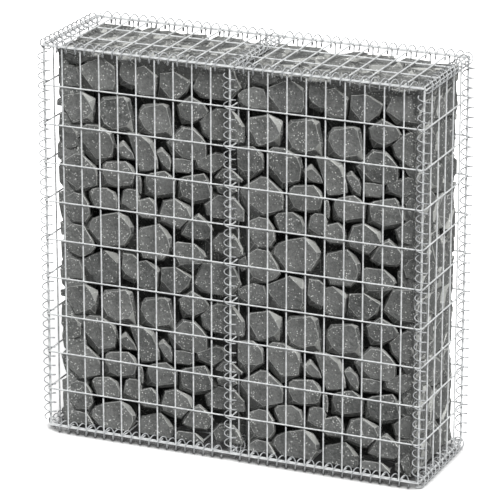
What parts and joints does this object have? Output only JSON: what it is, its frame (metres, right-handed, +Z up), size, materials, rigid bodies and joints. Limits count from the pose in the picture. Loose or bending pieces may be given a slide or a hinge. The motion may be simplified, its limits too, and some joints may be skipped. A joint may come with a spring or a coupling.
{
  "type": "gabion wall",
  "caption": "Free-standing stone-filled gabion wall: a flat welded-wire basket in two bays, laced along every edge with spiral wire binders.",
  "frame": {"origin": "on the ground, at the middle of the wall's footprint", "axes": "+X along the wall to the viewer's right, +Y through the wall from its front face to its back, +Z up"},
  "size_m": [1.032, 0.34, 1.032],
  "materials": {
    "galvanised_mesh_wire": "hot-dip zinc, satin",
    "galvanised_binder_wire": "drawn and zinc coated, satin",
    "quarry_stone": "dark basalt, broken faces, dry"
  },
  "bodies": {
    "root": {"back_left_corner_binder": "galvanised_binder_wire", "back_middle_binder": "galvanised_binder_wire", "back_panel": "galvanised_mesh_wire", "back_right_corner_binder": "galvanised_binder_wire", "base_back_left_binder": "galvanised_binder_wire", "base_back_right_binder": "galvanised_binder_wire", "base_front_left_binder": "galvanised_binder_wire", "base_front_right_binder": "galvanised_binder_wire", "base_left_end_binder": "galvanised_binder_wire", "base_middle_binder": "galvanised_binder_wire", "base_panel": "galvanised_mesh_wire", "base_right_end_binder": "galvanised_binder_wire", "divider_panel": "galvanised_mesh_wire", "front_left_corner_binder": "galvanised_binder_wire", "front_middle_binder": "galvanised_binder_wire", "front_panel": "galvanised_mesh_wire", "front_right_corner_binder": "galvanised_binder_wire", "left_end_panel": "galvanised_mesh_wire", "lid_back_left_binder": "galvanised_binder_wire", "lid_back_right_binder": "galvanised_binder_wire", "lid_front_left_binder": "galvanised_binder_wire", "lid_front_right_binder": "galvanised_binder_wire", "lid_left_end_binder": "galvanised_binder_wire", "lid_middle_binder": "galvanised_binder_wire", "lid_panel": "galvanised_mesh_wire", "lid_right_end_binder": "galvanised_binder_wire", "right_end_panel": "galvanised_mesh_wire", "stone_fill_left_bay": "quarry_stone", "stone_fill_right_bay": "quarry_stone"}
  },
  "joints": []
}
